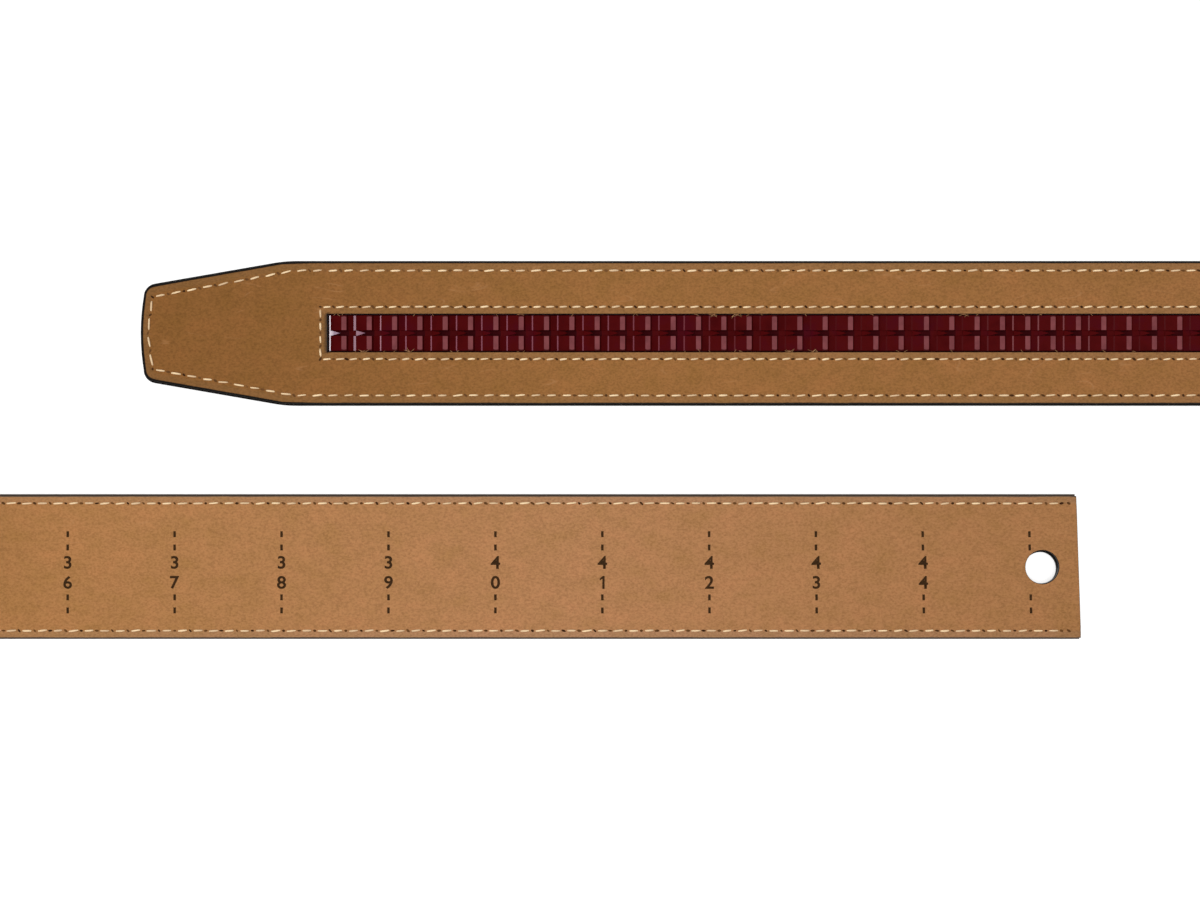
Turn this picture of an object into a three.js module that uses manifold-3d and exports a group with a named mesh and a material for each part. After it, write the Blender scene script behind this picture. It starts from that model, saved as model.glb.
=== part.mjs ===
// The strap of a ratchet belt, taken off its buckle and laid on a table with its back up.
// Its tapered tip and its cut end lie flat, one above the other. Between them the strap
// twists up onto its edge and goes round in one loop.
// A point of the strap is given by three lengths: s from the tip along the strap, v across
// it to the left, and n up through its thickness from the face side.
import * as THREE from 'three';
import Module from 'manifold-3d';

const wasm = await Module();
wasm.setup();

// Strap, in millimetres
const STRAP_LENGTH = 1352;
const STRAP_WIDTH = 34.5;
const FACE_THICKNESS = 2.0;
const LINING_THICKNESS = 1.5;
const GLUE_LINE = 0.1;
const LINING_INSET = 0.4;

// Tapered tip
const TIP_LENGTH = 34;
const TIP_WIDTH = 23.8;
const TIP_CORNER_RADIUS = 3.2;
const TIP_FRONT_BOW = 0.7;

// Cut end with its screw hole
const CUT_SLANT_DEGREES = 1.9;
const HOLE_DIAMETER = 7.95;
const HOLE_FROM_CUT = 8.7;
const HOLE_SIDES = 24;

// Toothed track and the window in the lining that shows it
const WINDOW_FROM_TIP = 44.8;
const TRACK_CLEARANCE = 0.3;
const TRACK_END_CLEARANCE = 0.6;
const TOOTH_COUNT = 36;
const TOOTH_PITCH = 6.02;
const TOOTH_HEIGHT = 1.05;
const CREST_DEPTH = 0.3;
const PAD_WIDTH = 3.55;
const GROOVE_WIDTH = 1.3;
const GROOVE_BELOW_VALLEY = 0.1;
const FLANGE_BORDER = 2.2;
const FLANGE_THICKNESS = 0.7;

// How the strap lies: between centre lines, and how far the cut end lies past the tip
const STRIP_SPACING = 55.6;
const RETURN_SPACING = 144;
const CUT_PAST_TIP = 223;
const TIP_RUN_SHARE = 0.496;

// Both half turns go to the right. Their bend grows over flatRamp of the turn where the
// strap lies flat and over edgeRamp where it stands on edge, and sharpness shapes that
// growth. twist and rise are the stretches that lean and lift the strap, as shares of the
// turn's length, and lift is how far its lower edge leaves the table there, as a share of
// the strap's width.
const RIGHT_TURN = { flatRamp: 0.35, edgeRamp: 0.3, sharpness: 1.13, twist: 0.4, rise: 0.26, lift: 0.203 };
const LEFT_TURN = { flatRamp: 0.41, edgeRamp: 0.21, sharpness: 1.38, twist: 0.48, rise: 0.32, lift: 0.261 };
const TURN_SAMPLES = 2000;
const PATH_STEP = 0.5;
const BEND_STATION_STEP = 5;

// One tooth from lip to lip: share of the pitch, and share of the tooth's height
const TOOTH_PROFILE = [
  { along: 0, rise: 0.47 },
  { along: 0.438, rise: 1 },
  { along: 0.651, rise: 1 },
  { along: 0.7, rise: 0 },
];

// Columns of points across a leather sheet, as shares of its half width
const ACROSS = [-1, -0.5, 0, 0.5, 1];

const strapThickness = FACE_THICKNESS + GLUE_LINE + LINING_THICKNESS;
const halfWidth = STRAP_WIDTH / 2;

function smoothStep(t) {
  return THREE.MathUtils.smoothstep(t, 0, 1);
}

function hump(t) {
  return Math.sin(Math.PI * THREE.MathUtils.clamp(t, 0, 1)) ** 2;
}

// A half turn that ends sideways from where it began. It returns the turn's length, how far
// its end lies ahead of its start, and its bend at a share of the way from its flat end.
function halfTurn(sideways, ramps) {
  const shape = (share) =>
    smoothStep(share / ramps.flatRamp) ** ramps.sharpness * smoothStep((1 - share) / ramps.edgeRamp);
  const shares = Array.from({ length: TURN_SAMPLES }, (_, i) => (i + 0.5) / TURN_SAMPLES);
  const total = shares.reduce((sum, share) => sum + shape(share), 0) / TURN_SAMPLES;
  let heading = 0;
  let across = 0;
  let ahead = 0;
  for (const share of shares) {
    heading += (shape(share) / total) * (Math.PI / TURN_SAMPLES);
    across += Math.sin(heading) / TURN_SAMPLES;
    ahead += Math.cos(heading) / TURN_SAMPLES;
  }
  const length = sideways / across;
  return {
    length,
    ahead: ahead * length,
    bend: (share) => (share < 0 || share > 1 ? 0 : (shape(share) / total) * (Math.PI / length)),
  };
}

const rightTurn = halfTurn(RETURN_SPACING, RIGHT_TURN);
const leftTurn = halfTurn(RETURN_SPACING - STRIP_SPACING, LEFT_TURN);
const turnCost = rightTurn.length + rightTurn.ahead + leftTurn.length + leftTurn.ahead;
const flatRuns = (STRAP_LENGTH + CUT_PAST_TIP - turnCost) / 2;
const flatFromTip = flatRuns * TIP_RUN_SHARE;
const flatToCut = STRAP_LENGTH - flatRuns * (1 - TIP_RUN_SHARE);
const rightTurnEnd = flatFromTip + rightTurn.length;
const leftTurnStart = flatToCut - leftTurn.length;

// Bend, lean onto the edge and lift at a distance s from the tip
function bendAt(s) {
  return rightTurn.bend((s - flatFromTip) / rightTurn.length) + leftTurn.bend((flatToCut - s) / leftTurn.length);
}

function leanAt(s) {
  const rising = smoothStep((s - flatFromTip) / (RIGHT_TURN.twist * rightTurn.length));
  const falling = smoothStep((flatToCut - s) / (LEFT_TURN.twist * leftTurn.length));
  return (Math.PI / 2) * Math.min(rising, falling);
}

function liftAt(s) {
  const first = RIGHT_TURN.lift * hump((s - flatFromTip) / (RIGHT_TURN.rise * rightTurn.length));
  const second = LEFT_TURN.lift * hump((flatToCut - s) / (LEFT_TURN.rise * leftTurn.length));
  return (first + second) * STRAP_WIDTH;
}

// Heading and place of the centre line in plan, every PATH_STEP along the strap
const centreLine = [{ x: 0, y: 0, heading: 0 }];
for (let s = PATH_STEP / 2; s < STRAP_LENGTH + PATH_STEP; s += PATH_STEP) {
  const last = centreLine.at(-1);
  const heading = last.heading - bendAt(s) * PATH_STEP;
  const middle = (last.heading + heading) / 2;
  centreLine.push({
    x: last.x + Math.cos(middle) * PATH_STEP,
    y: last.y + Math.sin(middle) * PATH_STEP,
    heading,
  });
}

function place([s, v, n]) {
  const index = THREE.MathUtils.clamp(Math.floor(s / PATH_STEP), 0, centreLine.length - 2);
  const rest = s / PATH_STEP - index;
  const from = centreLine[index];
  const to = centreLine[index + 1];
  const heading = THREE.MathUtils.lerp(from.heading, to.heading, rest);
  const lean = leanAt(s);
  const left = new THREE.Vector3(-Math.sin(heading), Math.cos(heading), 0);
  const up = new THREE.Vector3(0, 0, 1);
  const across = left.clone().multiplyScalar(Math.cos(lean)).addScaledVector(up, Math.sin(lean));
  const through = up.clone().multiplyScalar(Math.cos(lean)).addScaledVector(left, -Math.sin(lean));
  const height = halfWidth * Math.sin(lean) + (strapThickness / 2) * Math.cos(lean) + liftAt(s);
  return new THREE.Vector3(
    THREE.MathUtils.lerp(from.x, to.x, rest),
    THREE.MathUtils.lerp(from.y, to.y, rest),
    height,
  )
    .addScaledVector(across, v)
    .addScaledVector(through, n - strapThickness / 2);
}

// A closed body through rings of [s, v, n] points, laid along the strap. outline is the ring
// in the plane that its two ends are closed in, counterclockwise seen from the last ring.
// Each square of its skin is split from its right near corner to its left far one, on upper
// and lower sides alike, so that sheets which face each other in a twist have like facets.
function loft(rings, outline) {
  const count = outline.length;
  const points = rings.flat().map(place);
  const triangles = [];
  for (let ring = 0; ring < rings.length - 1; ring += 1) {
    for (let side = 0; side < count; side += 1) {
      const a = ring * count + side;
      const b = ring * count + ((side + 1) % count);
      if (outline[(side + 1) % count].x < outline[side].x) triangles.push(a, b, a + count, b, b + count, a + count);
      else triangles.push(a, b, b + count, a, b + count, a + count);
    }
  }
  const last = (rings.length - 1) * count;
  for (const [a, b, c] of THREE.ShapeUtils.triangulateShape(outline, [])) {
    triangles.push(c, b, a, last + a, last + b, last + c);
  }
  return new wasm.Manifold(new wasm.Mesh({
    numProp: 3,
    vertProperties: new Float32Array(points.flatMap((point) => point.toArray())),
    triVerts: new Uint32Array(triangles),
  }));
}

function asOutline(pairs) {
  return pairs.map(([x, y]) => new THREE.Vector2(x, y));
}

// Stations between two places: the ends, and one every few millimetres where the strap bends
function stationsBetween(start, end) {
  const stations = [start];
  for (const [from, to] of [[flatFromTip, rightTurnEnd], [leftTurnStart, flatToCut]]) {
    const steps = Math.round((to - from) / BEND_STATION_STEP);
    for (let step = 0; step <= steps; step += 1) {
      const s = from + ((to - from) * step) / steps;
      if (s > start + PATH_STEP && s < end - PATH_STEP) stations.push(s);
    }
  }
  return [...stations, end];
}

// Rows of a sheet's outline, set in from the strap's own: where the row crosses the centre
// line, its half width, how far its edge points lie behind that (bow), and how far they
// slant against each other
function outlineRows(inset) {
  const radius = TIP_CORNER_RADIUS - inset;
  const half = halfWidth - inset;
  const taper = Math.atan((STRAP_WIDTH - TIP_WIDTH) / 2 / (TIP_LENGTH - TIP_CORNER_RADIUS));
  const rows = [];
  for (const turned of [0, 0.35, 0.7, 1]) {
    const angle = (Math.PI / 2 - taper) * turned;
    const edge = TIP_FRONT_BOW + TIP_CORNER_RADIUS - radius * Math.cos(angle);
    const bow = (edge - inset) * (1 - turned);
    const edgeHalf = TIP_WIDTH / 2 - TIP_CORNER_RADIUS + radius * Math.sin(angle);
    rows.push({ s: edge - bow, half: edgeHalf, bow, slant: 0 });
  }
  const corner = rows.at(-1);
  const shoulder = TIP_LENGTH - TIP_CORNER_RADIUS;
  rows.push({ s: shoulder, half: corner.half + (shoulder - corner.s) * Math.tan(taper), bow: 0, slant: 0 });
  for (const s of stationsBetween(TIP_LENGTH + TIP_CORNER_RADIUS, STRAP_LENGTH - 2 * HOLE_FROM_CUT)) {
    rows.push({ s, half, bow: 0, slant: 0 });
  }
  const slant = half * Math.tan(THREE.MathUtils.degToRad(CUT_SLANT_DEGREES));
  rows.push({ s: STRAP_LENGTH, half, bow: 0, slant });
  return rows;
}

// A leather sheet of the strap's outline between two heights
function sheet(bottom, top, inset) {
  const under = ACROSS.map((share) => [share, bottom]);
  const over = ACROSS.toReversed().map((share) => [share, top]);
  const section = [...under, ...over];
  const rings = outlineRows(inset).map((row) =>
    section.map(([share, n]) => [row.s + row.bow * share ** 2 - row.slant * share, row.half * share, n]));
  return loft(rings, asOutline(section));
}

// A straight-sided bar that runs along the middle of the strap
function bar(start, end, half, bottom, top) {
  const section = [[-half, bottom], [half, bottom], [half, top], [-half, top]];
  const rings = stationsBetween(start, end).map((s) => section.map(([v, n]) => [s, v, n]));
  return loft(rings, asOutline(section));
}

const padsHalf = PAD_WIDTH + GROOVE_WIDTH / 2;
const windowHalf = padsHalf + TRACK_CLEARANCE;
const teethStart = WINDOW_FROM_TIP + TRACK_END_CLEARANCE;
const teethEnd = teethStart + TOOTH_COUNT * TOOTH_PITCH;
const windowEnd = teethEnd + TRACK_END_CLEARANCE;
const flangeStart = WINDOW_FROM_TIP - FLANGE_BORDER;
const flangeEnd = windowEnd + FLANGE_BORDER;
const flangeHalf = windowHalf + FLANGE_BORDER;
const flangeBottom = FACE_THICKNESS - FLANGE_THICKNESS;

// The screw hole goes through both sheets
function screwHole() {
  const circle = Array.from({ length: HOLE_SIDES }, (_, side) => {
    const angle = (2 * Math.PI * side) / HOLE_SIDES;
    return [
      STRAP_LENGTH - HOLE_FROM_CUT + (HOLE_DIAMETER / 2) * Math.cos(angle),
      (HOLE_DIAMETER / 2) * Math.sin(angle),
    ];
  });
  const heights = [-strapThickness, 2 * strapThickness];
  return loft(heights.map((n) => circle.map(([s, v]) => [s, v, n])), asOutline(circle));
}

// Outer leather, with a shallow pocket in its back for the track's flange
function faceLeather() {
  const pocket = bar(
    flangeStart - TRACK_CLEARANCE,
    flangeEnd + TRACK_CLEARANCE,
    flangeHalf + TRACK_CLEARANCE,
    flangeBottom - GLUE_LINE,
    strapThickness,
  );
  return sheet(0, FACE_THICKNESS, 0).subtract(pocket).subtract(screwHole());
}

// Tan leather on the back, cut open over the teeth
function liningLeather() {
  const opening = bar(WINDOW_FROM_TIP, windowEnd, windowHalf, GLUE_LINE, 2 * strapThickness);
  return sheet(FACE_THICKNESS + GLUE_LINE, strapThickness, LINING_INSET).subtract(opening).subtract(screwHole());
}

// Moulded strip: a flat flange under the lining, and two rows of ramped teeth in the window
function ratchetTrack() {
  const crest = strapThickness - CREST_DEPTH;
  const valley = crest - TOOTH_HEIGHT;
  const groove = GROOVE_WIDTH / 2;
  const base = FACE_THICKNESS - FLANGE_THICKNESS / 2;
  const floor = valley - GROOVE_BELOW_VALLEY;
  const section = (top) => [
    [-padsHalf, base], [padsHalf, base], [padsHalf, top], [groove, top],
    [groove, floor], [-groove, floor], [-groove, top], [-padsHalf, top],
  ];
  const rings = [];
  for (let tooth = 0; tooth < TOOTH_COUNT; tooth += 1) {
    for (const { along, rise } of TOOTH_PROFILE) {
      const s = teethStart + (tooth + along) * TOOTH_PITCH;
      rings.push(section(valley + rise * TOOTH_HEIGHT).map(([v, n]) => [s, v, n]));
    }
  }
  const lastLip = valley + TOOTH_PROFILE[0].rise * TOOTH_HEIGHT;
  rings.push(section(lastLip).map(([v, n]) => [teethEnd, v, n]));
  const flange = bar(flangeStart, flangeEnd, flangeHalf, flangeBottom, FACE_THICKNESS);
  return loft(rings, asOutline(section(crest))).add(flange);
}

function meshOf(name, solid, material) {
  const { vertProperties, triVerts } = solid.getMesh();
  const geometry = new THREE.BufferGeometry();
  geometry.setAttribute('position', new THREE.BufferAttribute(new Float32Array(vertProperties), 3));
  geometry.setIndex(new THREE.BufferAttribute(new Uint32Array(triVerts), 1));
  geometry.computeVertexNormals();
  const mesh = new THREE.Mesh(geometry, material);
  mesh.name = name;
  return mesh;
}

const blackLeather = new THREE.MeshStandardMaterial({ color: 0x17120f, roughness: 0.55, metalness: 0 });
const tanLeather = new THREE.MeshStandardMaterial({ color: 0xa87650, roughness: 0.75, metalness: 0 });
const redPlastic = new THREE.MeshStandardMaterial({ color: 0x521618, roughness: 0.25, metalness: 0 });

const strap = new THREE.Group();
strap.add(meshOf('face_leather', faceLeather(), blackLeather));
strap.add(meshOf('lining_leather', liningLeather(), tanLeather));
strap.add(meshOf('ratchet_track', ratchetTrack(), redPlastic));

// The origin is under the middle of the whole loop, on the table
const reach = new THREE.Box3().setFromObject(strap);
const middle = reach.getCenter(new THREE.Vector3());
strap.position.set(-middle.x, -middle.y, -reach.min.z);

export default strap;
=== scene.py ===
import math
import random

import bmesh
import bpy
import numpy as np
from mathutils import Matrix, Vector


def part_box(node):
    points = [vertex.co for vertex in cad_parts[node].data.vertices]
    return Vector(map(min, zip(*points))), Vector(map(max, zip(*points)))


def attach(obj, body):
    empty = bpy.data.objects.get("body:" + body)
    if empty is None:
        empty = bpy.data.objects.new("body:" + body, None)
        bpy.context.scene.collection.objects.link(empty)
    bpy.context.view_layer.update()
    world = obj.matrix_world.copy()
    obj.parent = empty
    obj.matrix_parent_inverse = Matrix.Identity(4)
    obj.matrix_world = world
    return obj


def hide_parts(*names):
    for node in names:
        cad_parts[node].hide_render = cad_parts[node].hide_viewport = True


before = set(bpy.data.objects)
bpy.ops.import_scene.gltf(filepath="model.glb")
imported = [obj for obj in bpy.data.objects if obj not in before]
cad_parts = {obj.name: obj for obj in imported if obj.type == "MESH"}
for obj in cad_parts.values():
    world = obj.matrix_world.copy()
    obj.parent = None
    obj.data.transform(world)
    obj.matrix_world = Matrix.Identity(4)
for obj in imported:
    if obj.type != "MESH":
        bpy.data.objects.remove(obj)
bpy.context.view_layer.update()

# The way the strap lies
# Both ends lie flat on the table with their backs up. Between them the strap twists up onto its
# edge and goes round in two half turns. Every piece is modelled straight and flat first, with s
# along the strap from its tip, v across it and n up from its face, and is then laid this way.
MM = 0.001
STRAP_LENGTH = 1352 * MM
STRAP_WIDTH = 34.5 * MM
STRAP_THICKNESS = 3.6 * MM
STRIP_SPACING = 55.6 * MM
RETURN_SPACING = 144 * MM
CUT_PAST_TIP = 223 * MM
TIP_RUN_SHARE = 0.496
TURN_PARTS = ("flat_ramp", "edge_ramp", "sharpness", "twist", "rise", "lift")
RIGHT_TURN = dict(zip(TURN_PARTS, (0.35, 0.3, 1.13, 0.4, 0.26, 0.203)))
LEFT_TURN = dict(zip(TURN_PARTS, (0.41, 0.21, 1.38, 0.48, 0.32, 0.261)))
TURN_SAMPLES = 2000
PATH_STEP = 0.5 * MM


def smooth_step(t):
    t = np.clip(t, 0, 1)
    return t * t * (3 - 2 * t)


def hump(t):
    return np.sin(np.pi * np.clip(t, 0, 1)) ** 2


def turn_shape(share, ramps):
    grown = smooth_step(share / ramps["flat_ramp"]) ** ramps["sharpness"]
    return grown * smooth_step((1 - share) / ramps["edge_ramp"])


def half_turn(sideways, ramps):
    """Length of a half turn, how far its end lies ahead of its start, and its mean shape."""
    shape = turn_shape((np.arange(TURN_SAMPLES) + 0.5) / TURN_SAMPLES, ramps)
    heading = np.cumsum(shape / shape.mean()) * np.pi / TURN_SAMPLES
    length = sideways / np.sin(heading).mean()
    return length, np.cos(heading).mean() * length, shape.mean()


right_length, right_ahead, right_mean = half_turn(RETURN_SPACING, RIGHT_TURN)
left_length, left_ahead, left_mean = half_turn(RETURN_SPACING - STRIP_SPACING, LEFT_TURN)
turn_cost = right_length + right_ahead + left_length + left_ahead
flat_runs = (STRAP_LENGTH + CUT_PAST_TIP - turn_cost) / 2
flat_from_tip = flat_runs * TIP_RUN_SHARE
flat_to_cut = STRAP_LENGTH - flat_runs * (1 - TIP_RUN_SHARE)


def bend_at(s):
    right_share = (s - flat_from_tip) / right_length
    left_share = (flat_to_cut - s) / left_length
    right = np.where(abs(right_share - 0.5) < 0.5, turn_shape(right_share, RIGHT_TURN), 0)
    left = np.where(abs(left_share - 0.5) < 0.5, turn_shape(left_share, LEFT_TURN), 0)
    return right / right_mean * np.pi / right_length + left / left_mean * np.pi / left_length


def lean_at(s):
    rising = smooth_step((s - flat_from_tip) / (RIGHT_TURN["twist"] * right_length))
    falling = smooth_step((flat_to_cut - s) / (LEFT_TURN["twist"] * left_length))
    return np.pi / 2 * np.minimum(rising, falling)


def lift_at(s):
    first = RIGHT_TURN["lift"] * hump((s - flat_from_tip) / (RIGHT_TURN["rise"] * right_length))
    second = LEFT_TURN["lift"] * hump((flat_to_cut - s) / (LEFT_TURN["rise"] * left_length))
    return (first + second) * STRAP_WIDTH


# The toothed track lies in the straight stretch, so its box gives the tip's place
FLANGE_FROM_TIP = 42.6 * MM
FLANGE_HALF = 6.7 * MM
track_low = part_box("ratchet_track")[0]
tip_x = track_low.x - FLANGE_FROM_TIP
tip_y = track_low.y + FLANGE_HALF
way_s = np.arange(0, STRAP_LENGTH + 2 * PATH_STEP, PATH_STEP)
way_heading = np.concatenate([[0], -np.cumsum(bend_at(way_s[:-1] + PATH_STEP / 2)) * PATH_STEP])
middle_heading = (way_heading[1:] + way_heading[:-1]) / 2
way_x = tip_x + np.concatenate([[0], np.cumsum(np.cos(middle_heading)) * PATH_STEP])
way_y = tip_y + np.concatenate([[0], np.cumsum(np.sin(middle_heading)) * PATH_STEP])


def lay(flat):
    """Places of points given as s, v and n, once the strap lies on the table."""
    s, v, n = flat.T
    heading = np.interp(s, way_s, way_heading)
    lean = lean_at(s)
    zero = np.zeros_like(s)
    left = np.stack([-np.sin(heading), np.cos(heading), zero], 1)
    up = np.array([0.0, 0.0, 1.0])
    across = left * np.cos(lean)[:, None] + up * np.sin(lean)[:, None]
    through = up * np.cos(lean)[:, None] - left * np.sin(lean)[:, None]
    height = STRAP_WIDTH / 2 * np.sin(lean) + STRAP_THICKNESS / 2 * np.cos(lean) + lift_at(s)
    # Past the straight tip the nearest point of the line is the tip itself
    ahead = np.minimum(s, 0)
    centre = np.stack([np.interp(s, way_s, way_x) + ahead, np.interp(s, way_s, way_y), height], 1)
    return centre + across * v[:, None] + through * (n - STRAP_THICKNESS / 2)[:, None]


def new_object(name, data):
    """Adds an object to the scene."""
    made = bpy.data.objects.new(name, data)
    bpy.context.scene.collection.objects.link(made)
    return made


def add_values(mesh, name, kind, key, values):
    """Keeps values at the points of a mesh, for its materials to read."""
    mesh.attributes.new(name, kind, "POINT").data.foreach_set(key, values.astype(np.float32).ravel())


def finish_piece(mesh, name, materials, relief=None, extras=None, sharp=None):
    """Makes a flat mesh a piece that is laid on the table. relief moves points in n, and extras
    are point values that the materials read. flat keeps each point's s, v and n for them too."""
    mesh.name = name
    flat = np.empty(len(mesh.vertices) * 3)
    mesh.vertices.foreach_get("co", flat)
    flat = flat.reshape(-1, 3)
    if relief:
        flat[:, 2] += relief(flat)
    for key, values in (extras or {}).items():
        add_values(mesh, key, "FLOAT", "value", values(flat))
    add_values(mesh, "flat", "FLOAT_VECTOR", "vector", flat)
    mesh.vertices.foreach_set("co", lay(flat).astype(np.float32).ravel())
    for material in materials:
        mesh.materials.append(material)
    mesh.shade_smooth()
    if sharp:
        mesh.set_sharp_from_angle(angle=math.radians(sharp))
    mesh.update()
    piece = new_object(name, mesh)
    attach(piece, "root")
    return piece


def mesh_of(bm):
    mesh = bpy.data.meshes.new("flat_mesh")
    bm.to_mesh(mesh)
    bm.free()
    return mesh


def face_up(bm):
    """Turns every face of a flat sheet upward."""
    bm.normal_update()
    for face in bm.faces:
        if face.normal.z < 0:
            face.normal_flip()


def shape_of(bm):
    """The points, faces and face materials of a small shape that is copied many times."""
    bm.verts.index_update()
    points = np.array([(*vert.co, 1.0) for vert in bm.verts])
    faces = [[vert.index for vert in face.verts] for face in bm.faces]
    materials = [face.material_index for face in bm.faces]
    bm.free()
    return points, faces, materials


def joined(copies):
    """One mesh of many shapes, each given with the matrix that places it."""
    points, faces, materials, count = [], [], [], 0
    for (shape_points, shape_faces, shape_materials), place in copies:
        points.append(shape_points @ np.array(place).T[:, :3])
        faces += [[corner + count for corner in face] for face in shape_faces]
        materials += shape_materials
        count += len(shape_points)
    mesh = bpy.data.meshes.new("joined_mesh")
    mesh.from_pydata(np.concatenate(points).tolist(), [], faces)
    mesh.polygons.foreach_set("material_index", materials)
    return mesh


def add_grid(bm, points):
    """Adds faces between rows of points."""
    rows = [[bm.verts.new(point) for point in row] for row in points]
    for near, far in zip(rows, rows[1:]):
        for corners in zip(near, near[1:], far[1:], far):
            bm.faces.new(corners)


# Shader helpers
# Every material is made of these functions and of one node group, which holds the leather grain.
PORE_RANGE = (0.3, 0.7)


def set_inputs(tree, made, values):
    """Sets a node's sockets by name, each to a value or to another node's output."""
    for key, value in values.items():
        if isinstance(value, bpy.types.NodeSocket):
            tree.links.new(value, made.inputs[key])
        else:
            made.inputs[key].default_value = value


def node(tree, kind, inputs=None, **settings):
    """Adds a shader node with its settings and inputs, and gives back its outputs."""
    made = tree.nodes.new("ShaderNode" + kind)
    for key, value in settings.items():
        setattr(made, key, value)
    set_inputs(tree, made, inputs or {})
    return made.outputs


def maths(tree, operation, first, second=0.0):
    return node(tree, "Math", {0: first, 1: second}, operation=operation)[0]


def mapped(tree, value, start, stop, low, high):
    """A value moved from the range start to stop into the range low to high."""
    ends = {"From Min": start, "From Max": stop, "To Min": low, "To Max": high}
    return node(tree, "MapRange", {"Value": value, **ends})["Result"]


def mixed(tree, factor, first, second, blend_type="MIX"):
    """Two colours mixed by a factor."""
    inputs = {"Factor": factor, 6: first, 7: second}
    return node(tree, "Mix", inputs, data_type="RGBA", blend_type=blend_type)[2]


def ramp(tree, factor, stops):
    """A colour ramp, with stops as position and colour."""
    made = tree.nodes.new("ShaderNodeValToRGB")
    set_inputs(tree, made, {"Fac": factor})
    elements = made.color_ramp.elements
    while len(elements) < len(stops):
        elements.new(0.5)
    for element, (position, colour) in zip(elements, stops):
        element.position = position
        element.color = (*colour, 1.0)
    return made.outputs["Color"]


def bump(tree, height, strength, distance):
    """Normals tilted by a height."""
    inputs = {"Height": height, "Strength": strength, "Distance": distance}
    return node(tree, "Bump", inputs)["Normal"]


def point_value(tree, name):
    """A value that the mesh keeps at its points."""
    return node(tree, "Attribute", attribute_name=name)["Fac"]


def flat_place(tree):
    """The place on the flat strap, as s, v and n."""
    return node(tree, "Attribute", attribute_name="flat")["Vector"]


def flat_axes(tree):
    """The place on the flat strap, with s as X and v as Y."""
    return node(tree, "SeparateXYZ", {"Vector": flat_place(tree)})


# Leather grain: Height is fine pores and creases, Mottle slow and Pores quick changes of shade
CREASE_SHARE = 0.8
grain_group = bpy.data.node_groups.new("leather_grain", "ShaderNodeTree")
new_socket = grain_group.interface.new_socket
new_socket(name="Place", in_out="INPUT", socket_type="NodeSocketVector")
for label in ("Pore Size", "Mottle Size", "Stretch"):
    new_socket(name=label, in_out="INPUT", socket_type="NodeSocketFloat")
for label in ("Height", "Mottle", "Pores"):
    new_socket(name=label, in_out="OUTPUT", socket_type="NodeSocketFloat")
tree = grain_group
given = tree.nodes.new("NodeGroupInput").outputs
grain_out = tree.nodes.new("NodeGroupOutput")
stretch = node(tree, "CombineXYZ", {"X": given["Stretch"], "Y": 1.0, "Z": 1.0})
factors = {0: given["Place"], 1: stretch["Vector"]}
pulled = node(tree, "VectorMath", factors, operation="MULTIPLY")["Vector"]
pore_scale = maths(tree, "DIVIDE", 1.0, given["Pore Size"])
mottle_scale = maths(tree, "DIVIDE", 1.0, given["Mottle Size"])
pore_inputs = {"Vector": pulled, "Scale": pore_scale}
mottle_inputs = {"Vector": pulled, "Scale": mottle_scale}
pores = node(tree, "TexNoise", {**pore_inputs, "Detail": 3.0, "Roughness": 0.6})
cells = node(tree, "TexVoronoi", pore_inputs, feature="DISTANCE_TO_EDGE")
mottle = node(tree, "TexNoise", {**mottle_inputs, "Detail": 6.0, "Roughness": 0.62})
creased = maths(tree, "MULTIPLY", cells["Distance"], CREASE_SHARE)
height = maths(tree, "ADD", pores["Fac"], creased)
set_inputs(tree, grain_out, {"Height": height, "Mottle": mottle["Fac"], "Pores": pores["Fac"]})


def grain_node(tree, pore_size, mottle_size, stretch=1.0):
    """The outputs of the leather grain group, at the place on the flat strap."""
    sizes = {"Pore Size": pore_size, "Mottle Size": mottle_size, "Stretch": stretch}
    return node(tree, "Group", {"Place": flat_place(tree), **sizes}, node_tree=grain_group)


def new_material(name):
    """An empty node material and its Principled shader."""
    material = bpy.data.materials.new(name)
    material.use_nodes = True
    tree = material.node_tree
    tree.nodes.clear()
    shader = tree.nodes.new("ShaderNodeBsdfPrincipled")
    output = tree.nodes.new("ShaderNodeOutputMaterial")
    tree.links.new(shader.outputs["BSDF"], output.inputs["Surface"])
    return material, tree, shader


def grained_material(name, sizes, key, stops, roughness, specular=0.5):
    """A material coloured by its grain. Roughness is even, or a range that follows the pores."""
    material, tree, shader = new_material(name)
    grain = grain_node(tree, *sizes)
    if isinstance(roughness, tuple):
        roughness = mapped(tree, grain["Pores"], *PORE_RANGE, *roughness)
    colour = ramp(tree, grain[key], stops)
    surface = {"Base Color": colour, "Roughness": roughness, "Specular IOR Level": specular}
    set_inputs(tree, shader, surface)
    return material


# Camera and light
# The photograph looks straight down on both ends, under broad soft light from above, with a lower
# strip light from the left that brings out the stitches and the edges.
PHOTO_WIDTH_ON_STRAP = 285 * MM
CAMERA_HEIGHT = 450 * MM
SENSOR_WIDTH = 36.0
MIDDLE_FROM_TIP = 109.5 * MM
ROOM_BRIGHTNESS = 0.3
# Place, aim, size and power of each light
LIGHTS = {
    "overhead_softbox": ((0.0, 0.0, 1.3), (0.0, 0.0, 0.0), (1.5, 1.2), 17.0),
    "left_strip_light": ((-1.25, 0.14, 0.52), (-0.05, 0.06, 0.0), (1.2, 0.1), 4.5),
}

camera_data = bpy.data.cameras.new("camera")
camera_data.sensor_width = SENSOR_WIDTH
camera_data.lens = SENSOR_WIDTH * CAMERA_HEIGHT / PHOTO_WIDTH_ON_STRAP
camera = new_object("camera", camera_data)
camera.location = (tip_x + MIDDLE_FROM_TIP, tip_y - STRIP_SPACING / 2, STRAP_THICKNESS + CAMERA_HEIGHT)
bpy.context.scene.camera = camera
bpy.context.scene.view_settings.view_transform = "Standard"

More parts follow.
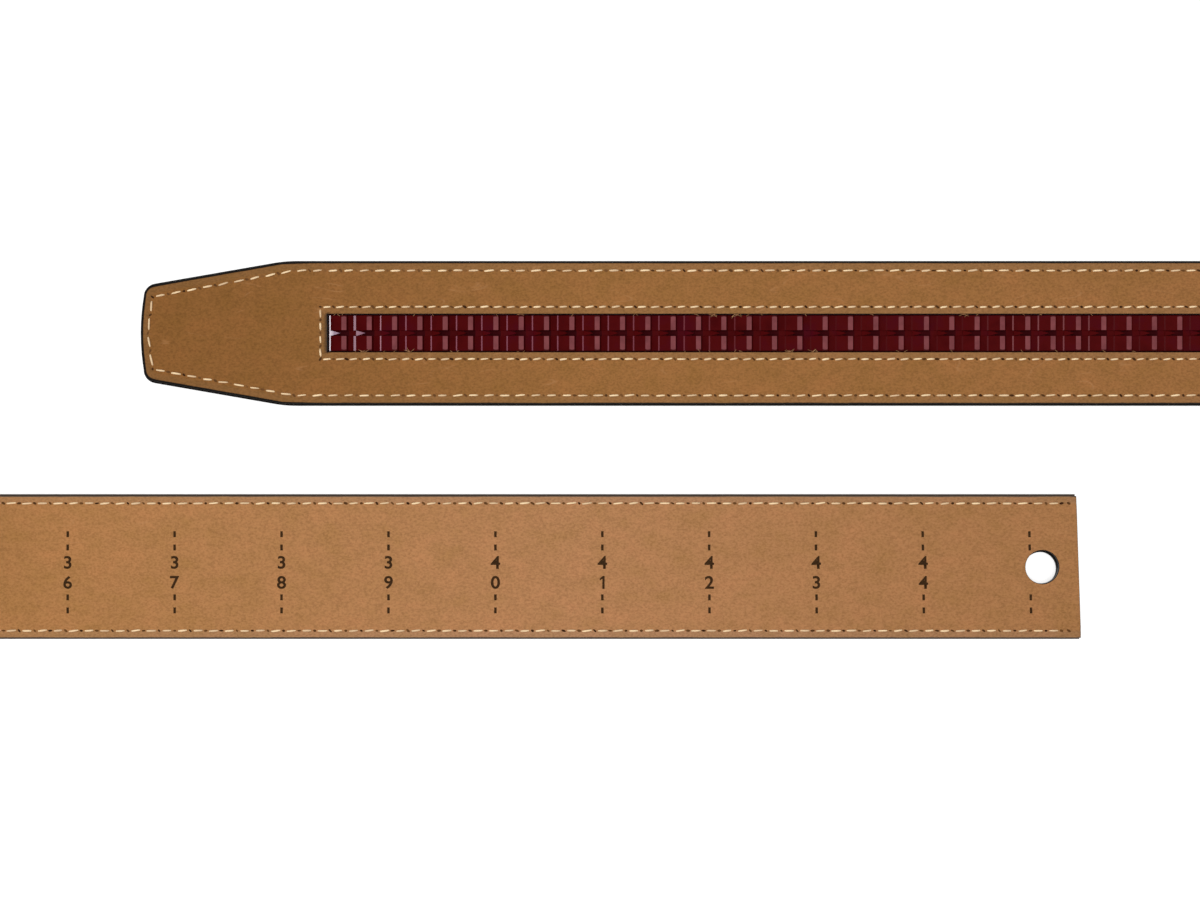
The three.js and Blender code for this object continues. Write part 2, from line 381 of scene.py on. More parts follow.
for name, (place, aim, size, power) in LIGHTS.items():
    data = bpy.data.lights.new(name, "AREA")
    data.shape = "RECTANGLE"
    data.size, data.size_y = size
    data.energy = power
    light = new_object(name, data)
    light.location = place
    light.rotation_euler = (Vector(aim) - Vector(place)).to_track_quat("-Z", "Y").to_euler()

world = bpy.data.worlds.new("soft_room")
world.use_nodes = True
background = world.node_tree.nodes["Background"]
set_inputs(world.node_tree, background, {"Color": (1.0, 1.0, 1.0, 1.0), "Strength": ROOM_BRIGHTNESS})
bpy.context.scene.world = world

# Table top
# A plain white table under the strap, far wider than the view.
FLOOR_SIDE = 12.0
FLOOR_GREY = 0.6
FLOOR_GLOW = 0.62

table_white, tree, shader = new_material("table_white")
surface = {
    "Base Color": (FLOOR_GREY, FLOOR_GREY, FLOOR_GREY, 1.0),
    "Roughness": 0.9,
    "Specular IOR Level": 0.1,
    "Emission Color": (1.0, 1.0, 1.0, 1.0),
    "Emission Strength": FLOOR_GLOW,
}
set_inputs(tree, shader, surface)
bm = bmesh.new()
bmesh.ops.create_grid(bm, x_segments=1, y_segments=1, size=FLOOR_SIDE / 2)
floor_mesh = mesh_of(bm)
floor_mesh.materials.append(table_white)
table_top = new_object("table_top", floor_mesh)

# Outer leather
# Black belt leather, 2 mm thick, cut with a tapered tip and a straight end. It lies under the
# lining with its grain side on the table, and its rounded edges are painted black.
FACE_THICKNESS = 2.0 * MM
TIP_LENGTH = 34 * MM
TIP_WIDTH = 23.8 * MM
TIP_CORNER_RADIUS = 3.2 * MM
TIP_FRONT_BOW = 0.7 * MM
CORNER_POINTS = 9
SHOULDER_POINTS = 7
CUT_SLANT = math.radians(1.9)
SLANT_REACH = 22 * MM
HOLE_RADIUS = 3.975 * MM
HOLE_FROM_CUT = 8.7 * MM
HOLE_SIDES = 48
HOLE_PATCH = 5.6 * MM
HOLE_SHIFT = (-0.1 * MM, -0.5 * MM, 0)
FACE_SPACING = 1.9 * MM
FACE_LOOPS = [inset * MM for inset in (0, 0.95, 1.55, 1.8, 2.05, 2.3, 2.55)] + [TIP_CORNER_RADIUS]
FACE_COLUMNS = (0, 0.3, 0.55, 0.8, 1)
FACE_EDGE_ROUND = 0.75 * MM
PAINT_FROM_GRAIN = 0.3 * MM
# Depth and reach of the dip along the edge, then of the dip along the seam
FACE_DIPS = (0.12 * MM, 1.4 * MM, 0.2 * MM, 0.5 * MM)
# How far the edge seam lies from the strap's edge, at two places from the tip
SEAM_INSETS = ((300 * MM, 2.42 * MM), (420 * MM, 2.12 * MM))
front_half = TIP_WIDTH / 2 - TIP_CORNER_RADIUS
corner_from_tip = TIP_FRONT_BOW + TIP_CORNER_RADIUS
shoulder_from_tip = TIP_LENGTH - TIP_CORNER_RADIUS
body_from_tip = TIP_LENGTH + TIP_CORNER_RADIUS
taper = math.atan((STRAP_WIDTH - TIP_WIDTH) / 2 / shoulder_from_tip)


def half_outline(inset, spacing, columns):
    """The strap's outline, from the middle of its tip along one edge to the cut end."""
    radius = TIP_CORNER_RADIUS - inset
    half = STRAP_WIDTH / 2 - inset
    points = [(inset + TIP_FRONT_BOW * share**2, front_half * share) for share in columns]
    for turned in np.linspace(0, 1, CORNER_POINTS)[1:]:
        angle = (math.pi / 2 - taper) * turned
        points.append((corner_from_tip - radius * math.cos(angle), front_half + radius * math.sin(angle)))
    corner_s, corner_half = points[-1]
    for s in np.arange(corner_from_tip + spacing, shoulder_from_tip - spacing / 2, spacing):
        points.append((s, corner_half + (s - corner_s) * math.tan(taper)))
    shoulder_half = corner_half + (shoulder_from_tip - corner_s) * math.tan(taper)
    for t in np.linspace(0, 1, SHOULDER_POINTS):
        s = shoulder_from_tip + (body_from_tip - shoulder_from_tip) * t
        points.append((s, half - (1 - t) ** 2 * (half - shoulder_half)))
    steps = round((STRAP_LENGTH - body_from_tip) / spacing)
    points += [(s, half) for s in np.linspace(body_from_tip, STRAP_LENGTH, steps + 1)[1:]]
    return points


def flat_sheet(loops, spacing, columns):
    """A flat sheet of the strap's outline. Loops of faces run along its edge, each set in by its
    own distance, round a grid with columns at shares of the half width."""
    bands = []
    for inset in loops:
        half = half_outline(inset, spacing, columns)
        bands.append([(s, -v, 0) for s, v in half[:0:-1]] + [(s, v, 0) for s, v in half])
    inner = half_outline(loops[-1], spacing, columns)
    across = [-share for share in columns[:0:-1]] + list(columns)
    front = [(loops[-1] + TIP_FRONT_BOW * share**2, front_half * share, 0) for share in across]
    sides = inner[len(columns) + CORNER_POINTS - 1 :]
    bm = bmesh.new()
    add_grid(bm, bands)
    add_grid(bm, [front] + [[(s, v * share, 0) for share in across] for s, v in sides])
    bmesh.ops.remove_doubles(bm, verts=bm.verts[:], dist=1e-6)
    for vert in bm.verts:
        nearness = max(0, 1 - (STRAP_LENGTH - vert.co.x) / SLANT_REACH)
        vert.co.x -= vert.co.y * math.tan(CUT_SLANT) * nearness
    face_up(bm)
    return bm


def cut_window(bm, low, high):
    """Cuts a rectangle out of a flat sheet."""
    for axis, value in ((0, low[0]), (0, high[0]), (1, low[1]), (1, high[1])):
        place, normal = Vector(), Vector()
        place[axis], normal[axis] = value, 1
        reach = (low[0] - HOLE_PATCH, high[0] + HOLE_PATCH)
        near = [f for f in bm.faces if reach[0] < f.calc_center_median().x < reach[1]]
        edges = {e for f in near for e in f.edges}
        verts = {v for f in near for v in f.verts}
        cut_through = near + list(edges) + list(verts)
        bmesh.ops.bisect_plane(bm, geom=cut_through, dist=1e-7, plane_co=place, plane_no=normal)
    inside = []
    for face in bm.faces:
        middle = face.calc_center_median()
        if low[0] < middle.x < high[0] and low[1] < middle.y < high[1]:
            inside.append(face)
    bmesh.ops.delete(bm, geom=inside, context="FACES")


def punch_hole(bm, shift=(0, 0, 0)):
    """Punches the round screw hole near the cut end. The two leathers' holes don't quite line up."""
    centre = Vector((STRAP_LENGTH - HOLE_FROM_CUT, 0, 0)) + Vector(shift)
    patch = Vector((HOLE_PATCH, HOLE_PATCH, 0))
    cut_window(bm, centre - patch, centre + patch)
    square = [
        e
        for e in bm.edges
        if e.is_boundary and max(abs(x) for v in e.verts for x in (v.co - centre)[:2]) < HOLE_PATCH + 1e-6
    ]
    circle = bmesh.ops.create_circle(
        bm, segments=HOLE_SIDES, radius=HOLE_RADIUS, matrix=Matrix.Translation(centre)
    )["verts"]
    ring = list({e for v in circle for e in v.link_edges})
    bmesh.ops.bridge_loops(bm, edges=square + ring)
    face_up(bm)


def give_thickness(bm, bottom, top, round_top, round_bottom):
    """Turns a flat sheet into a slab between two heights, with its rims rounded."""
    bmesh.ops.solidify(bm, geom=bm.faces[:], thickness=top - bottom)
    bmesh.ops.recalc_face_normals(bm, faces=bm.faces[:])
    lowest = min(v.co.z for v in bm.verts)
    middle = lowest + (top - bottom) / 2
    for radius, is_side in ((round_top, lambda z: z > middle), (round_bottom, lambda z: z < middle)):
        if radius:
            corners = [e for e in bm.edges if e.calc_face_angle(0) > 1]
            rim = [e for e in corners if all(is_side(v.co.z) for v in e.verts)]
            bmesh.ops.bevel(
                bm, geom=rim, offset=radius, segments=3, profile=0.5, affect="EDGES", material=-1
            )
    bmesh.ops.translate(bm, verts=bm.verts[:], vec=(0, 0, bottom - lowest))
    bmesh.ops.recalc_face_normals(bm, faces=bm.faces[:])


def edge_distance(flat):
    """How far points lie inside the strap's painted outline. The cut end isn't painted."""
    s, v = flat[:, 0], abs(flat[:, 1])
    side = STRAP_WIDTH / 2 - v
    taper_line = TIP_WIDTH / 2 + (s - TIP_CORNER_RADIUS) * math.tan(taper)
    slope = (taper_line - v) * math.cos(taper)
    front = s - TIP_FRONT_BOW * (v / front_half) ** 2
    corner = TIP_CORNER_RADIUS - np.hypot(s - corner_from_tip, v - front_half)
    distance = np.minimum(np.minimum(side, slope), np.where(v < front_half, front, side))
    in_corner = (s < corner_from_tip) & (v > front_half)
    return np.where(in_corner, np.minimum(distance, corner), distance)


def seam_inset(s):
    """How far the edge seam lies from the strap's edge, a little more at the toothed end."""
    return np.interp(s, *zip(*SEAM_INSETS))


BLACK_STOPS = ((0.3, (0.004, 0.003, 0.0027)), (0.7, (0.011, 0.009, 0.008)))
# The grain grows from nothing at the painted edge, between these two distances from it
GRAIN_FROM_EDGE = (0.25 * MM, 0.9 * MM)

black_leather, tree, shader = new_material("black_leather")
grain = grain_node(tree, 0.75 * MM, 20 * MM)
off_edge = mapped(tree, point_value(tree, "rim"), *GRAIN_FROM_EDGE, 0.0, 1.0)
black_height = maths(tree, "MULTIPLY", grain["Height"], off_edge)
surface = {
    "Base Color": ramp(tree, grain["Mottle"], BLACK_STOPS),
    "Roughness": mapped(tree, grain["Pores"], *PORE_RANGE, 0.36, 0.55),
    "Specular IOR Level": 0.3,
    "Normal": bump(tree, black_height, 0.55, 0.12 * MM),
}
set_inputs(tree, shader, surface)

# Edge paint along the strap, from the tip to the cut end: black, then a thinner coat over brown.
# Round the screw hole, in the middle of the strap's width, it is black.
PAINT_SIDE = 10 * MM
PAINT_MOTTLE = 0.15
PAINT_ALONG = (
    (0.0, (0.004, 0.003, 0.0025)),
    (0.45, (0.004, 0.003, 0.0025)),
    (0.75, (0.062, 0.044, 0.032)),
    (1.0, (0.07, 0.05, 0.037)),
)


def paint_colour(tree, mottle):
    """Colour of the edge paint, by the place along the strap and a little mottle."""
    axes = flat_axes(tree)
    at_side = maths(tree, "GREATER_THAN", maths(tree, "ABSOLUTE", axes["Y"]), PAINT_SIDE)
    along = maths(tree, "DIVIDE", axes["X"], STRAP_LENGTH)
    along = maths(tree, "MULTIPLY", along, at_side)
    mottled = maths(tree, "MULTIPLY", maths(tree, "SUBTRACT", mottle, 0.5), PAINT_MOTTLE)
    return ramp(tree, maths(tree, "ADD", along, mottled), PAINT_ALONG)


edge_paint, tree, shader = new_material("edge_paint")
edge_colour = paint_colour(tree, grain_node(tree, 0.5 * MM, 10 * MM)["Mottle"])
surface = {"Base Color": edge_colour, "Roughness": 0.5, "Specular IOR Level": 0.04}
set_inputs(tree, shader, surface)


def sewn_dip(flat, edge_depth, edge_reach, seam_depth, seam_reach):
    """How far a leather is pressed in along its edge and its seam."""
    inside = np.maximum(edge_distance(flat), 0)
    from_seam = inside - seam_inset(flat[:, 0])
    edge_dip = edge_depth * np.exp(-((inside / edge_reach) ** 2))
    return edge_dip + seam_depth * np.exp(-((from_seam / seam_reach) ** 2))


def face_relief(flat):
    """The face side is pressed in a little along its painted edge and its seam."""
    low = np.clip(1 - flat[:, 2] / FACE_THICKNESS, 0, 1)
    return low * sewn_dip(flat, *FACE_DIPS)


bm = flat_sheet(FACE_LOOPS, FACE_SPACING, FACE_COLUMNS)
punch_hole(bm, HOLE_SHIFT)
give_thickness(bm, 0, FACE_THICKNESS, 0.15 * MM, FACE_EDGE_ROUND)
for face in bm.faces:
    face.material_index = int(face.calc_center_median().z > PAINT_FROM_GRAIN)
extras = {"rim": edge_distance}
leathers = [black_leather, edge_paint]
outer_leather = finish_piece(mesh_of(bm), "outer_leather", leathers, face_relief, extras)
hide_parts("face_leather")

# Lining
# Tan nubuck leather, 1.5 mm thick, glued and sewn over the whole back. A long window in it shows
# the teeth, and its edges are rounded and painted black with the outer leather's.
LINING_BOTTOM = 2.02 * MM
WINDOW_FROM_TIP = 44.8 * MM
WINDOW_LENGTH = 217.92 * MM
WINDOW_HALF = 4.5 * MM
LINING_SPACING = 1.25 * MM
LINING_LOOPS = [inset * MM for inset in (0.4, 0.85, 1.2, 1.5, 1.8, 2.05, 2.3, 2.7)] + [TIP_CORNER_RADIUS]
LINING_COLUMNS = (0, 0.15, 0.3, 0.36, 0.41, 0.46, 0.55, 0.7, 0.85, 1)
LINING_EDGE_ROUND = 0.2 * MM
# How much wider the paint is, in millimetres, at places that far from the tip
WIDER_PAINT = ((0, 0.42), (34, 0.38), (42, 0.14), (300, 0.12), (600, 0.0))
WALL_REACH = 0.15 * MM
PAINT_FADE = (0.32 * MM, 0.5 * MM)
PAINT_WANDER = 0.3 * MM
WINDOW_STITCH_INSET = 1.7 * MM
PRESS_BLEND = 0.5 * MM
LINING_DIPS = (0.16 * MM, 1.5 * MM, 0.1 * MM, 0.55 * MM)
SWELL_HEIGHT = 0.03 * MM
# Slow wave along the lining, then a quicker one and its slant
SWELL_LENGTHS = (23 * MM, 9.1 * MM, 7 * MM)

# Colours of the lining along the strap, from the tip to the cut end. The tan is darker at the tip and
# along the toothed end than along the far end, as painted shade and painted light.
TAN_AND_SHADE_ALONG = (
    (0.0, (0.215, 0.092, 0.025)),
    (0.08, (0.28, 0.125, 0.0385)),
    (0.19, (0.285, 0.127, 0.042)),
    (0.8, (0.365, 0.17, 0.058)),
    (0.91, (0.394, 0.19, 0.082)),
    (1.0, (0.333, 0.155, 0.06)),
)
MOTTLE_SHADES = ((0.3, (0.92, 0.94, 0.86)), (0.5, (1.0, 1.0, 1.0)), (0.7, (1.09, 1.05, 1.08)))
PORE_SHADES = ((0.3, (0.76, 0.75, 0.72)), (0.6, (1.07, 1.07, 1.06)))
SCUFF = (0.42, 0.22, 0.095)
SCUFF_PULL = (0.3, 1.0, 1.0)
SCUFF_SIZE = 6 * MM
SCUFF_LINE = 0.012
SCUFF_PATCH = (0.52, 0.62)
SCUFF_STRENGTH = 0.3
# What the tan is multiplied by where the leather is pressed outside its seams
PRESSED = (0.94, 1.02, 1.2)


def window_distance(flat):
    """How far points lie outside the window."""
    s, v, _ = flat.T
    past_ends = abs(s - WINDOW_FROM_TIP - WINDOW_LENGTH / 2) - WINDOW_LENGTH / 2
    return np.maximum(past_ends, abs(v) - WINDOW_HALF)


def lining_press(flat):
    """1 between a seam and the edge it runs along, where the leather is pressed greyer, else 0."""
    at_edge = smooth_step((seam_inset(flat[:, 0]) - edge_distance(flat)) / PRESS_BLEND + 0.5)
    at_window = smooth_step((WINDOW_STITCH_INSET - window_distance(flat)) / PRESS_BLEND + 0.5)
    return np.maximum(at_edge, at_window)


def lining_rim(flat):
    """How far points lie from the painted edges. The paint is wider round the tip. On the walls of the
    window, the screw hole and the cut end it is nothing, so the dark edge paint covers them, which also
    paints the shade on these walls.
    """
    s, v, _ = flat.T
    wider = np.interp(s / MM, *zip(*WIDER_PAINT)) * MM
    from_hole = np.hypot(s - (STRAP_LENGTH - HOLE_FROM_CUT), v) - HOLE_RADIUS
    from_end = STRAP_LENGTH - v * math.tan(CUT_SLANT) - s
    on_wall = np.minimum(np.minimum(from_hole, window_distance(flat)), from_end) < WALL_REACH
    return np.where(on_wall, 0, edge_distance(flat) - wider)


def lining_relief(flat):
    """The lining sinks along its sewn edge and at the window, and swells slowly between."""
    s, v, n = flat.T
    high = np.clip((n - LINING_BOTTOM) / (STRAP_THICKNESS - LINING_BOTTOM), 0, 1)
    slow, quick, slant = SWELL_LENGTHS
    swell = SWELL_HEIGHT * (np.sin(s / slow) + np.sin(s / quick + v / slant) - 2)
    return high * (swell - sewn_dip(flat, *LINING_DIPS))


nubuck, tree, shader = new_material("tan_nubuck")
grain = grain_node(tree, 0.42 * MM, 5 * MM, 0.7)
along = maths(tree, "DIVIDE", flat_axes(tree)["X"], STRAP_LENGTH)
colour = ramp(tree, along, TAN_AND_SHADE_ALONG)
for factor, shade in (
    (1.0, ramp(tree, grain["Mottle"], MOTTLE_SHADES)),
    (1.0, ramp(tree, grain["Pores"], PORE_SHADES)),
    (point_value(tree, "press"), (*PRESSED, 1.0)),
):
    colour = mixed(tree, factor, colour, shade, "MULTIPLY")
# Faint light scuffs: thin lines where a slow noise passes its middle, kept to some patches
pulled = node(tree, "VectorMath", {0: flat_place(tree), 1: SCUFF_PULL}, operation="MULTIPLY")
noise_inputs = {"Vector": pulled["Vector"], "Scale": 1 / SCUFF_SIZE, "Detail": 1.0}
noise = node(tree, "TexNoise", noise_inputs)["Fac"]
off_line = maths(tree, "ABSOLUTE", maths(tree, "SUBTRACT", noise, 0.5))
scuff_line = mapped(tree, off_line, 0.0, SCUFF_LINE, 1.0, 0.0)
scuff_patch = mapped(tree, grain["Mottle"], *SCUFF_PATCH, 0.0, SCUFF_STRENGTH)
scuff = maths(tree, "MULTIPLY", scuff_line, scuff_patch)
colour = mixed(tree, scuff, colour, (*SCUFF, 1.0))
wander = maths(tree, "MULTIPLY", grain["Mottle"], PAINT_WANDER)
paint_reach = maths(tree, "SUBTRACT", point_value(tree, "rim"), wander)
painted = mapped(tree, paint_reach, *PAINT_FADE, 1.0, 0.0)
surface = {
    "Base Color": mixed(tree, painted, colour, paint_colour(tree, grain["Mottle"])),
    "Roughness": mapped(tree, painted, 0.0, 1.0, 0.86, 0.45),
    "Specular IOR Level": 0.04,
    "Sheen Weight": 0.06,
    "Sheen Roughness": 0.5,
    "Normal": bump(tree, grain["Height"], 0.5, 0.06 * MM),
}
set_inputs(tree, shader, surface)

bm = flat_sheet(LINING_LOOPS, LINING_SPACING, LINING_COLUMNS)
window_low = (WINDOW_FROM_TIP, -WINDOW_HALF)
window_high = (WINDOW_FROM_TIP + WINDOW_LENGTH, WINDOW_HALF)
cut_window(bm, window_low, window_high)
punch_hole(bm)
give_thickness(bm, LINING_BOTTOM, STRAP_THICKNESS, LINING_EDGE_ROUND, 0)
extras = {"rim": lining_rim, "press": lining_press}
lining = finish_piece(mesh_of(bm), "lining", [nubuck], lining_relief, extras)
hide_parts("lining_leather")

# Ratchet track
# One moulded strip of dark red plastic. Its flange is held under the lining, and two columns of
# ramped teeth stand in the window with a narrow groove between them.
TOOTH_COUNT = 36
TOOTH_PITCH = 6.02 * MM
TEETH_FROM_TIP = 45.4 * MM
CREST_HEIGHT = 3.3 * MM
TOOTH_HEIGHT = 1.05 * MM
PAD_WIDTH = 3.55 * MM
GROOVE_WIDTH = 1.3 * MM
FLANGE_TOP = 2.01 * MM
FLANGE_BOTTOM = 1.3 * MM
TOOTH_EDGE_ROUND = 0.07 * MM
PAD_END = 0.01 * MM
GROOVE_DEPTH = 0.1 * MM
GROOVE_STATIONS = (0, 0.28, 0.72)
# How many groove webs at the front carry a painted highlight
HIGHLIGHT_WEBS = 2
TRACK_STEP = 3 * MM
WEB_LENGTH = 2.3 * MM
WEB_RISE = 1.0 * MM
WEB_BOTTOM = 0.05 * MM
FRONT_LIP = 0.29 * MM
FRONT_LIP_SLOPE = 0.15
# One tooth from lip to lip: share of the pitch, and share of the tooth's height. Just before each
# lip the tooth is steeper, and that narrow strip carries a painted highlight.
TOOTH_PROFILE = ((0, 0.47), (0.44, 1), (0.645, 1), (0.69, 0.06), (0.73, 0), (0.952, 0.33), (1, 0.47))
LAND_MIDDLE = (TOOTH_PROFILE[1][0] + TOOTH_PROFILE[2][0]) / 2
# How fast the frosted land's end is drawn in beside its middle, for each metre squared
FROST_ROUND = 400.0
# The first tooth's painted highlight before its next lip is wider
WIDE_LIP_PROFILE = TOOTH_PROFILE[:5] + ((0.9, 0.19), (1, 0.47))
# Numbers of the track's materials
RED, FROSTED, SHADED_MATTE, PAINTED_HIGHLIGHT = range(4)

RED_STOPS = ((0.3, (0.046, 0.0014, 0.002)), (0.5, (0.062, 0.0022, 0.0026)), (0.7, (0.056, 0.002, 0.006)))
# The shaded matte red paints the shade on the flange and on the groove's floor between the teeth
SHADED_MATTE_STOPS = ((0.3, (0.022, 0.0016, 0.0025)), (0.7, (0.044, 0.0028, 0.0042)))
red_plastic = grained_material(
    "dark_red_plastic", (1.5 * MM, 7 * MM), "Mottle", RED_STOPS, (0.3, 0.45), 0.008
)
shaded_matte_red = grained_material("painted_shade_matte_red", (0.4 * MM, 5 * MM), "Mottle", SHADED_MATTE_STOPS, 0.7, 0.01)

# Painted highlights on the lips, standing in for their glints: nearly white at the front, then
# fading along the strip. They come back faintly near its far end.
LIP_SPAN = 217 * MM
LIP_HIGHLIGHT_ALONG = (
    (0.0, (0.78, 0.7, 0.75)),
    (0.002, (0.4, 0.31, 0.38)),
    (0.012, (0.22, 0.13, 0.18)),
    (0.027, (0.31, 0.18, 0.22)),
    (0.039, (0.2, 0.09, 0.13)),
    (0.056, (0.34, 0.15, 0.19)),
    (0.085, (0.22, 0.07, 0.1)),
    (0.218, (0.2, 0.06, 0.085)),
    (0.411, (0.13, 0.025, 0.032)),
    (0.484, (0.06, 0.003, 0.004)),
    (0.715, (0.06, 0.003, 0.004)),
    (0.745, (0.17, 0.05, 0.055)),
    (0.83, (0.15, 0.04, 0.045)),
    (0.86, (0.06, 0.003, 0.004)),
)
highlight_paint, tree, shader = new_material("painted_lip_highlight")
past_front = maths(tree, "SUBTRACT", flat_axes(tree)["X"], TEETH_FROM_TIP)
lip_share = maths(tree, "DIVIDE", past_front, LIP_SPAN)
lip_pores = grain_node(tree, 1.2 * MM, 8 * MM)["Pores"]
surface = {
    "Base Color": ramp(tree, lip_share, LIP_HIGHLIGHT_ALONG),
    "Roughness": mapped(tree, lip_pores, *PORE_RANGE, 0.3, 0.4),
    "Specular IOR Level": 0.05,
}
set_inputs(tree, shader, surface)

# The frost on the lands stops short of the teeth's outer ends, in a round line. The dark red there
# is painted shade beside the window's edge.
FROST_STOPS = ((0.3, (0.13, 0.03, 0.034)), (0.7, (0.2, 0.05, 0.056)))
FROST_FADE = (3.86 * MM, 4.0 * MM)
LAND_END_SHADE = (0.05, 0.002, 0.003)
frosted_plastic, tree, shader = new_material("frosted_red_plastic")
grain = grain_node(tree, 0.12 * MM, 3 * MM)
axes = flat_axes(tree)
land_before = TEETH_FROM_TIP - (1 - LAND_MIDDLE) * TOOTH_PITCH
past_land = maths(tree, "SUBTRACT", axes["X"], land_before)
off_land = maths(tree, "PINGPONG", past_land, TOOTH_PITCH / 2)
squared = maths(tree, "POWER", off_land, 2.0)
roundness = maths(tree, "MULTIPLY", squared, FROST_ROUND)
off_middle = maths(tree, "ABSOLUTE", axes["Y"])
frost_reach = maths(tree, "ADD", off_middle, roundness)
shaded_land_end = mapped(tree, frost_reach, *FROST_FADE, 0.0, 1.0)
frost = ramp(tree, grain["Mottle"], FROST_STOPS)
surface = {
    "Base Color": mixed(tree, shaded_land_end, frost, (*LAND_END_SHADE, 1.0)),
    "Roughness": mapped(tree, grain["Pores"], *PORE_RANGE, 0.35, 0.55),
    "Specular IOR Level": 0.05,
}
set_inputs(tree, shader, surface)

valley = CREST_HEIGHT - TOOTH_HEIGHT
lip_height = valley + TOOTH_PROFILE[0][1] * TOOTH_HEIGHT


def tooth_pad(profile):
    """One ramped tooth, from its lip at s = 0, with its land frosted and a painted highlight on the
    strip before the next lip."""
    bm = bmesh.new()
    points = [(a * TOOTH_PITCH, 0, valley + r * TOOTH_HEIGHT) for a, r in profile]
    points += [(TOOTH_PITCH, 0, FLANGE_BOTTOM), (0, 0, FLANGE_BOTTOM)]
    face = bm.faces.new([bm.verts.new(point) for point in points])
    grown = bmesh.ops.extrude_face_region(bm, geom=[face])
    moved = [g for g in grown["geom"] if isinstance(g, bmesh.types.BMVert)]
    bmesh.ops.translate(bm, verts=moved, vec=(0, PAD_WIDTH, 0))
    bmesh.ops.recalc_face_normals(bm, faces=bm.faces[:])
    rims = []
    for edge in bm.edges:
        a, b = (vert.co for vert in edge.verts)
        at_lip = max(a.x, b.x) < PAD_END or min(a.x, b.x) > TOOTH_PITCH - PAD_END
        if edge.calc_face_angle(0) > 1 and min(a.z, b.z) > valley - PAD_END and not at_lip:
            rims.append(edge)
    bmesh.ops.bevel(
        bm, geom=rims, offset=TOOTH_EDGE_ROUND, segments=2, profile=0.5, affect="EDGES", material=-1
    )
    for face in bm.faces:
        middle = face.calc_center_median()
        if face.normal.z > 0.99 and middle.z > CREST_HEIGHT - PAD_END:
            face.material_index = FROSTED
        if middle.x > profile[-2][0] * TOOTH_PITCH and face.normal.z > 0.5:
            face.material_index = PAINTED_HIGHLIGHT
    return shape_of(bm)


def block(top, material):
    """A solid block from the outline of its top down to the flange."""
    bm = bmesh.new()
    face = bm.faces.new([bm.verts.new(point) for point in top])
    grown = bmesh.ops.extrude_face_region(bm, geom=[face])
    for vert in (g for g in grown["geom"] if isinstance(g, bmesh.types.BMVert)):
        vert.co.z = FLANGE_BOTTOM
    bmesh.ops.recalc_face_normals(bm, faces=bm.faces[:])
    for face in bm.faces:
        face.material_index = material
    return shape_of(bm)


def groove_web(material):
    """A small wedge in the groove, which rises from the lip and narrows to a point."""
    low = valley + WEB_BOTTOM
    half = GROOVE_WIDTH / 2
    return block([(0, -half, low), (WEB_LENGTH, 0, low + WEB_RISE), (0, half, low)], material)


def front_lip():
    """The strip's own front edge, a narrow slope across both columns of teeth, coloured as a painted
    highlight.
    """
    half = GROOVE_WIDTH / 2 + PAD_WIDTH
    foot = lip_height - FRONT_LIP * FRONT_LIP_SLOPE
    back = [(0, -half, lip_height), (0, half, lip_height)]
    return block(back + [(-FRONT_LIP, half, foot), (-FRONT_LIP, -half, foot)], PAINTED_HIGHLIGHT)


def flange_and_groove():
    """The flat flange under the lining, and the groove's floor. The flange, and the floor between the
    tops of the teeth, are darker as painted shade."""
    bm = bmesh.new()
    length = TOOTH_COUNT * TOOTH_PITCH + 2 * (TEETH_FROM_TIP - FLANGE_FROM_TIP)
    stations = np.linspace(FLANGE_FROM_TIP, FLANGE_FROM_TIP + length, round(length / TRACK_STEP))
    add_grid(bm, [[(s, v, FLANGE_TOP) for v in (-FLANGE_HALF, FLANGE_HALF)] for s in stations])
    face_up(bm)
    bmesh.ops.solidify(bm, geom=bm.faces[:], thickness=FLANGE_TOP - FLANGE_BOTTOM)
    top = max(vert.co.z for vert in bm.verts)
    bmesh.ops.translate(bm, verts=bm.verts[:], vec=(0, 0, FLANGE_TOP - top))
    shares = [tooth + share for tooth in range(TOOTH_COUNT) for share in GROOVE_STATIONS]
    stations = [TEETH_FROM_TIP + share * TOOTH_PITCH for share in shares + [TOOTH_COUNT]]
    half = GROOVE_WIDTH / 2
    add_grid(bm, [[(s, v, valley - GROOVE_DEPTH) for v in (-half, half)] for s in stations])
    face_up(bm)
    for face in bm.faces:
        middle = face.calc_center_median()
        share = (middle.x - TEETH_FROM_TIP) / TOOTH_PITCH % 1
        at_top = GROOVE_STATIONS[1] < share < GROOVE_STATIONS[2]
        in_valley = middle.z > FLANGE_TOP + PAD_END and not at_top
        face.material_index = RED if in_valley else SHADED_MATTE
    return shape_of(bm)


pad, wide_pad = tooth_pad(TOOTH_PROFILE), tooth_pad(WIDE_LIP_PROFILE)
highlight_web, web = groove_web(PAINTED_HIGHLIGHT), groove_web(RED)
copies = [(flange_and_groove(), Matrix())]
copies.append((front_lip(), Matrix.Translation((TEETH_FROM_TIP, 0, 0))))
for tooth in range(TOOTH_COUNT):
    start = TEETH_FROM_TIP + tooth * TOOTH_PITCH
    shape = wide_pad if tooth == 0 else pad
    copies.append((shape, Matrix.Translation((start, GROOVE_WIDTH / 2, 0))))
    copies.append((shape, Matrix.Translation((start, -GROOVE_WIDTH / 2 - PAD_WIDTH, 0))))
    # The first webs carry a painted highlight, the rest are red plastic
    copies.append((highlight_web if tooth < HIGHLIGHT_WEBS else web, Matrix.Translation((start, 0, 0))))
plastics = [red_plastic, frosted_plastic, shaded_matte_red, highlight_paint]
track = finish_piece(joined(copies), "track", plastics, sharp=10)
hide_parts("ratchet_track")

